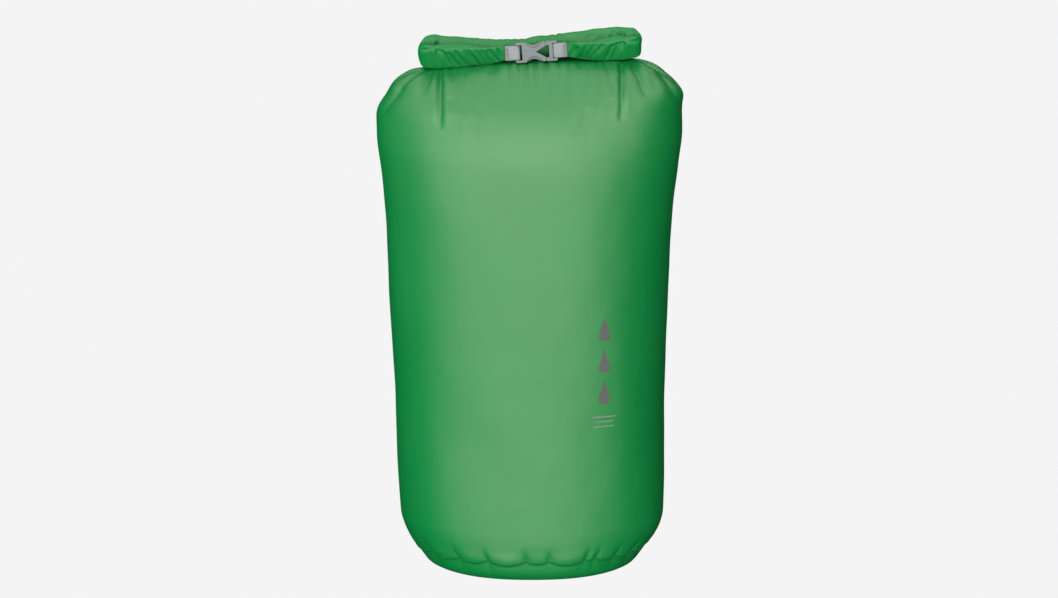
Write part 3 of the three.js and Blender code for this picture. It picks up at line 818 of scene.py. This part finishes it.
def closure_sweep():
    """The whole roll as one grid, from the left tip round both turns to the right tip, with its cuts."""
    left_turn, left_flap = end_stations(-1)
    right_turn, right_flap = end_stations(1)
    spine = spine_stations(np.linspace(-ROLL_HALF, ROLL_HALF, SPINE_STATIONS))
    parts = [left_flap[::-1], left_turn[::-1], spine, right_turn, right_flap]
    cuts = np.cumsum([0] + [len(part) for part in parts])
    stations = np.concatenate(parts)
    points = tube(stations)
    normal = grid_normals(points, wraps=True)
    along = distances(stations[:, :3])
    girth = np.arange(points.shape[1]) * GIRTH_PITCH
    sheet = np.stack(np.broadcast_arrays(along[:, None], girth[None]), -1)
    face = points[..., [0, 2]]
    outside = smoothstep(0.2, 0.6, -normal[..., 1])
    folded = smoothstep(-0.6, 0.2, -stations[:, 6])[:, None]
    move = ripples(face, 8, 24, 0.45) + ripples(face, 10, 9, 0.14, (1, 0.6))
    for side in (-1, 1):
        here = folded * outside * (side * points[..., 0] > 0)
        move -= crease_depth(face, flap_creases(side), deepest=3.4) * here
    move -= crease_depth(face, spine_creases(), deepest=2.4) * (1 - folded)
    ends = np.minimum(smoothstep(0, 6, along), smoothstep(along[-1], along[-1] - 6, along))
    points = points + normal * (move * ends[:, None])[..., None]
    return to_row(points), grid_normals(to_row(points), wraps=True), sheet, cuts


def closure_piece(name, first, last, nodes, body=None):
    """One stretch of the sweep, closed at its ends."""
    points, normals, sheet, _ = SWEEP
    rows = slice(first, last)
    piece = grid_mesh(name, points[rows], ROLLED_NYLON, wraps=True, normals=normals[rows],
                      fields={"along": sheet[rows, :, 0] * MM, "across": sheet[rows, :, 1] * MM}, caps=True)
    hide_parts(*nodes)
    if body:
        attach(piece, body)
    return piece


SWEEP = closure_sweep()
cuts = SWEEP[3]
closure_piece("rolled_mouth", cuts[2] - 1, cuts[3] + 1, ["roll_turns"], "roll")
closure_piece("left_end", cuts[0], cuts[1] + 1, ["left_roll_end"], "carry_loop")
right_end = closure_piece("right_end", cuts[4] - 1, cuts[5], ["right_roll_end"])
left_turn = closure_piece("left_turn", cuts[1], cuts[2], ["left_fold"])
right_turn = closure_piece("right_turn", cuts[3], cuts[4], ["right_fold"])
for side, piece in ((-1, left_turn), (1, right_turn)):
    middle = to_row(np.array([side * 112.0, 0, -9.0])) * MM
    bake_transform(piece)
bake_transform(right_end)


STRIP_HALF = 102.0  # half its length, half its thickness, and its gap to the roll's top and bottom
STRIP_THIN = 0.35
STRIP_GAP = 4.5


def stiffener(name, node, y):
    """A strip of laminate that follows the roll from inside."""
    x = np.linspace(-STRIP_HALF, STRIP_HALF, 60)
    top, bottom = through(ROLL_TOP, x) - STRIP_GAP, through(ROLL_BOTTOM, x) + STRIP_GAP
    corners = ((STRIP_THIN, bottom), (STRIP_THIN, top), (-STRIP_THIN, top), (-STRIP_THIN, bottom))
    points = np.stack([np.stack([x, np.full_like(x, y + out), z], -1) for out, z in corners], 1)
    fields = {"along": np.broadcast_to(x[:, None] * MM, points.shape[:2]), "across": points[..., 2] * MM}
    piece = grid_mesh(name, to_row(points), STRIP, wraps=True, fields=fields)
    face_outwards(piece)
    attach(piece, "roll")
    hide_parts(node)


stiffener("front_mouth_strip", "front_stiffener", -0.5)
stiffener("back_mouth_strip", "back_stiffener", 0.5)

# ---------------- stitches


STITCH_PLACES = np.array([0, 0.15, 0.5, 0.85, 1])  # along one stitch, as shares of its length
STITCH_RISE = np.array([-0.6, 0.5, 0.9, 0.5, -0.6])  # its height there, as shares of its radius
STITCH_GIRTH = np.array([0.7, 1, 1, 1, 0.7])  # and its thickness
STRAND_SIDES = 6


def stitches(name, path, normals, body, material, length=2.6, gap=0.7, radius=0.2):
    """A row of stitches: each is a small six-sided strand that dips into the cloth at both ends."""
    step = distances(path)
    starts = np.arange(0, step[-1] - length, length + gap)
    at = starts[:, None] + STITCH_PLACES * length
    middle = np.stack([np.interp(at, step, path[:, i]) for i in range(3)], -1)
    up = np.stack([np.interp(at, step, normals[:, i]) for i in range(3)], -1)
    up /= np.linalg.norm(up, axis=-1, keepdims=True)
    ahead = middle[:, -1:] - middle[:, :1]
    ahead = ahead / np.linalg.norm(ahead, axis=-1, keepdims=True)
    side = np.cross(ahead, up)
    angle = np.linspace(0, FULL_TURN, STRAND_SIDES, endpoint=False)
    girth = radius * STITCH_GIRTH[:, None]
    rise = radius * STITCH_RISE[:, None] + girth * np.sin(angle)
    points = (middle[:, :, None] + up[:, :, None] * rise[..., None]
              + (side * girth)[:, :, None] * np.cos(angle)[:, None])
    index = np.arange(points[..., 0].size).reshape(points.shape[:3])
    after = np.roll(index, -1, 2)
    faces = np.stack([index[:, :-1], after[:, :-1], after[:, 1:], index[:, 1:]], -1).reshape(-1, 4).tolist()
    faces += index[:, 0, ::-1].tolist() + index[:, -1].tolist()
    piece = new_piece(name, (points.reshape(-1, 3) * MM).tolist(), faces, material)
    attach(piece, body)
    return piece


# ---------------- the buckle and its webbing

WEB_HALF = 7.4
WEB_THICKNESS = 1.0
WEB_FLAT = 2.25  # how far each of its two layers lies from their middle
WEB_WRAP = 2.5  # and how far where it goes round the buckle's bar
WEAVE_SHIFT = 0.01  # in metres: keeps its weave's pattern on one side of zero
TACK_PLACES = (1.6, 3.0)  # how far each bar tack is from the webbing's end
TACK_HALF = WEB_HALF - 1.2
TACK_POINTS = 40


def webbing_route(side, reach):
    """The webbing's way to the bar, round it and back, as (along, out) from the tab's middle."""
    start, taper, end = 3.2 - reach, 6.0 - reach, reach - 9.2
    there = [(end, WEB_FLAT), (taper, WEB_FLAT)]
    there += [(start + (taper - start) * k, WEB_FLAT + (WEB_WRAP - WEB_FLAT) * (1 - k) ** 1.4)
              for k in (0.8, 0.6, 0.4, 0.2)]
    round_bar = [(-reach + (3.0 - 3.0 * math.cos(a)), WEB_WRAP * math.sin(a))
                 for a in np.linspace(math.pi / 2, -math.pi / 2, 15)]
    back = [(along, -out) for along, out in reversed(there)]
    return np.array(there + round_bar + back) * (side, 1)


def webbing_outline():
    """The webbing's cross-section as (across, out): flat, with rounded edges."""
    across = np.linspace(-1, 1, 25)
    out = 0.5 * np.sqrt(np.clip(1 - np.abs(across) ** 14, 0, 1))
    rim = np.concatenate([np.stack([across, out], -1), np.stack([across, -out], -1)[-2:0:-1]])
    return rim * (WEB_HALF, WEB_THICKNESS)


def bar_tack(name, centre, place, axis, up, body):
    """A tight zigzag of stitches across the webbing's front."""
    high = np.linspace(-TACK_HALF, TACK_HALF, TACK_POINTS)[:, None]
    along = place + 0.55 * (-1) ** np.arange(TACK_POINTS)[:, None]
    path = centre + along * axis + high * up + np.array([0, -WEB_FLAT - WEB_THICKNESS / 2, 0])
    forward = np.broadcast_to([0.0, -1.0, 0.0], path.shape)
    stitches(name, path, forward, body, GREY_THREAD, length=1.25, gap=0.0, radius=0.17)


def webbing_loop(name, node, body):
    """A flat loop of webbing round a buckle's bar, sewn into the roll's end."""
    low, high = (np.array(corner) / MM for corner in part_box(node))
    side = -1 if name.startswith("left") else 1
    axis = np.array(joints["buckle_release"]["axis"])
    up = np.array([-axis[2], 0, axis[0]])
    centre = (low + high) / 2
    reach = (high[0] - low[0]) / 2 / axis[0] - WEB_HALF * abs(axis[2])
    route, outline = webbing_route(side, reach), webbing_outline()
    tangent = np.gradient(route, axis=0)
    tangent /= np.linalg.norm(tangent, axis=1, keepdims=True)
    away = np.stack([tangent[:, 1], -tangent[:, 0]], -1)
    flat = route[:, None] + away[:, None] * outline[:, 1:]
    points = centre + flat[..., :1] * axis + flat[..., 1:] * np.array([0, 1, 0]) + outline[:, :1] * up
    fields = {"along": np.broadcast_to(distances(route)[:, None] * MM, points.shape[:2]),
              "across": np.broadcast_to(outline[:, 0] * MM + WEAVE_SHIFT, points.shape[:2])}
    piece = grid_mesh(name, points, WEBBING, wraps=True, fields=fields)
    face_outwards(piece)
    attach(piece, body)
    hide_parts(node)
    for k, place in enumerate(TACK_PLACES):
        bar_tack(f"{name}_tack_{k}", centre, route[0, 0] - side * place, axis, up, body)


webbing_loop("left_webbing", "left_tab", "carry_loop")
webbing_loop("right_webbing", "right_tab", "male_side")

EDGE_ROUNDING = 0.35  # how far the buckle's moulded edges are rounded
WELD_WITHIN = 0.01

for node in ("buckle_female", "buckle_male", "upper_prong", "lower_prong"):
    part = frame["nodes"][node]
    part.data.materials.clear()
    part.data.materials.append(PLASTIC)
    part.modifiers.new("weld", "WELD").merge_threshold = WELD_WITHIN * MM
    bevel = part.modifiers.new("bevel", "BEVEL")
    bevel.width = EDGE_ROUNDING * MM
    bevel.segments = 3
    bevel.limit_method = "ANGLE"
    bevel.angle_limit = math.radians(35)
    bevel.harden_normals = True

# ---------------- the printed mark

MARK_X = 77.0  # its middle, across the bag
MARK_TOP = 286.0
DROP_SIZE = (8.5, 30.0)  # half-width and height of one printed droplet
DROP_PITCH = 33.0
BARS = [(176, 177.2, 12.5), (171, 172.2, 9), (166, 167.2, 10.5)]  # bottom, top and half-width
FILM = 0.1  # thickness of the ink


def droplet(low, half, tall):
    """A drop shape as rings of (x, z) round its middle: round below, drawn to a point above."""
    angle = np.linspace(0, FULL_TURN, 49)
    x = half * np.sin(angle) * np.sin(angle / 2) ** 1.6
    z = low + tall * (1 - np.sin(angle / 2) ** 1.2) * 0.999
    middle = np.array([MARK_X, low + 0.3 * tall])
    edge = np.stack([MARK_X + x, z], -1)
    share = np.linspace(0.02, 1, 12)[:, None, None]
    return middle + (edge - middle) * share


def bar(low, high, half_width):
    """A straight bar as a grid of (x, z)."""
    x, z = np.meshgrid(np.linspace(MARK_X - half_width, MARK_X + half_width, 30), np.linspace(low, high, 4))
    return np.stack([x, z], -1)


def print_mark(name, shapes, material):
    """Lays flat shapes on the front panel as a thin film of ink."""
    front = panels["front"].data
    cloth_tree = BVHTree.FromPolygons([v.co for v in front.vertices], [p.vertices for p in front.polygons])
    points, faces = [], []
    for shape in shapes:
        rows, columns = shape.shape[:2]
        index = len(points) + np.arange(rows * columns).reshape(rows, columns)
        faces += grid_faces(index[:, :-1], index[:, 1:])
        for x, z in shape.reshape(-1, 2) * MM:
            hit, normal, _, _ = cloth_tree.ray_cast(Vector((x, -1, z)), Vector((0, 1, 0)))
            points.append(hit + normal * FILM * MM)
    piece = new_piece(name, points, faces, material, smooth=False)
    film = piece.modifiers.new("film", "SOLIDIFY")
    film.thickness, film.offset = FILM * MM, 0
    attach(piece, "bag")


drop_bottoms = [MARK_TOP - DROP_PITCH * k - DROP_SIZE[1] for k in (0, 1, 2)]
print_mark("printed_drops", [droplet(low, *DROP_SIZE) for low in drop_bottoms], DARK_INK)
print_mark("printed_bars", [bar(*size) for size in BARS], FAINT_INK)

# ---------------- sewing thread

BASE_THREAD_Z = SEAM_Z + 3.2
SIDE_THREAD_Z = (SEAM_Z + 4, 529)  # where the side seams' threads start and end
THREAD_BESIDE = 3  # how far they lie beside the seam, in columns

wall, wall_normals = cloth["wall"], cloth["wall_normals"]
row = int(np.searchsorted(heights, BASE_THREAD_Z))
ring = np.append(np.arange(COLUMNS), 0)
stitches("base_seam_thread", wall[row, ring], wall_normals[row, ring], "bag", GREEN_THREAD)
rows = np.flatnonzero((heights > SIDE_THREAD_Z[0]) & (heights < SIDE_THREAD_Z[1]))
for side, seam, beside in (("right", 0, ("front", "back")), ("left", COLUMNS // 2, ("back", "front"))):
    for panel, step in zip(beside, (-THREAD_BESIDE, THREAD_BESIDE)):
        column = (seam + step) % COLUMNS
        stitches(f"{side}_seam_thread_{panel}", wall[rows, column], wall_normals[rows, column],
                 "bag", GREEN_THREAD, radius=0.13)

# ---------------- studio

TARGET = Vector((0, 0, 0.2818))
DISTANCE = 2.2
ELEVATION = math.radians(10)
LENS = 70.3
SENSOR = 36
FLOOR_HALF = 60.0
FLOOR_GAP = 0.0004


def add_camera():
    """A camera in front of the bag, a little above its middle."""
    data = bpy.data.cameras.new("camera")
    data.lens, data.sensor_width = LENS, SENSOR
    data.clip_start, data.clip_end = 0.1, 200
    camera = bpy.data.objects.new("camera", data)
    camera.location = TARGET + DISTANCE * Vector((0, -math.cos(ELEVATION), math.sin(ELEVATION)))
    camera.rotation_euler = (math.pi / 2 - ELEVATION, 0, 0)
    bpy.context.scene.collection.objects.link(camera)
    bpy.context.scene.camera = camera


def add_light(name, place, size, power, aim=TARGET, shows=True):
    """A soft rectangular light. One that doesn't show is left out of reflections."""
    data = bpy.data.lights.new(name, "AREA")
    data.shape, data.size, data.size_y, data.energy = "RECTANGLE", size[0], size[1], power
    light = bpy.data.objects.new(name, data)
    light.location = place
    light.rotation_euler = (aim - Vector(place)).to_track_quat("-Z", "Y").to_euler()
    light.visible_glossy = shows
    light.visible_camera = False
    bpy.context.scene.collection.objects.link(light)


def add_floor():
    """A wide pale floor just under the bag, kept out of its light and reflections."""
    corners = [(x * FLOOR_HALF, y * FLOOR_HALF, 0) for x, y in ((-1, -1), (1, -1), (1, 1), (-1, 1))]
    floor = new_piece("floor", corners, [(0, 1, 2, 3)], floor_material(), smooth=False)
    floor.location.z = -FLOOR_GAP
    floor.visible_glossy = False
    floor.visible_diffuse = False
    floor.visible_shadow = False


def add_world():
    """An even pale room: dim as a light, and kept out of reflections."""
    world = bpy.data.worlds.new("studio")
    world.use_nodes = True
    tree = world.node_tree
    path = tree.nodes.new("ShaderNodeLightPath")
    steps = (("Is Camera Ray", PALE - AMBIENT), ("Is Glossy Ray", -AMBIENT))
    total = None
    for output, share in steps:
        node = tree.nodes.new("ShaderNodeMath")
        node.operation = "MULTIPLY_ADD"
        tree.links.new(path.outputs[output], node.inputs[0])
        node.inputs[1].default_value = share
        node.inputs[2].default_value = AMBIENT
        if total is not None:
            tree.links.new(total, node.inputs[2])
        total = node.outputs[0]
    tree.links.new(total, tree.nodes["Background"].inputs["Strength"])
    tree.nodes["Background"].inputs["Color"].default_value = (1, 1, 1, 1)
    bpy.context.scene.world = world


add_camera()
add_floor()
add_world()
add_light("front", (-0.22, -2.6, 0.45), (5.6, 3.4), 76)
add_light("high_front", (0, -1.5, 2.0), (3.6, 2.0), 36)
add_light("overhead", (0, 0.35, 2.4), (3.6, 2.0), 21)
add_light("left_fill", (-3.0, 0.25, 0.7), (1.6, 2.2), 52, shows=False)
add_light("floor_bounce", (0, -1.2, -0.35), (1.6, 0.8), 9, aim=Vector((0, 0, 0.1)), shows=False)
add_light("back_fill", (0.3, 3.2, 1.0), (3.0, 2.4), 85, shows=False)
bpy.context.scene.view_settings.view_transform = "Standard"
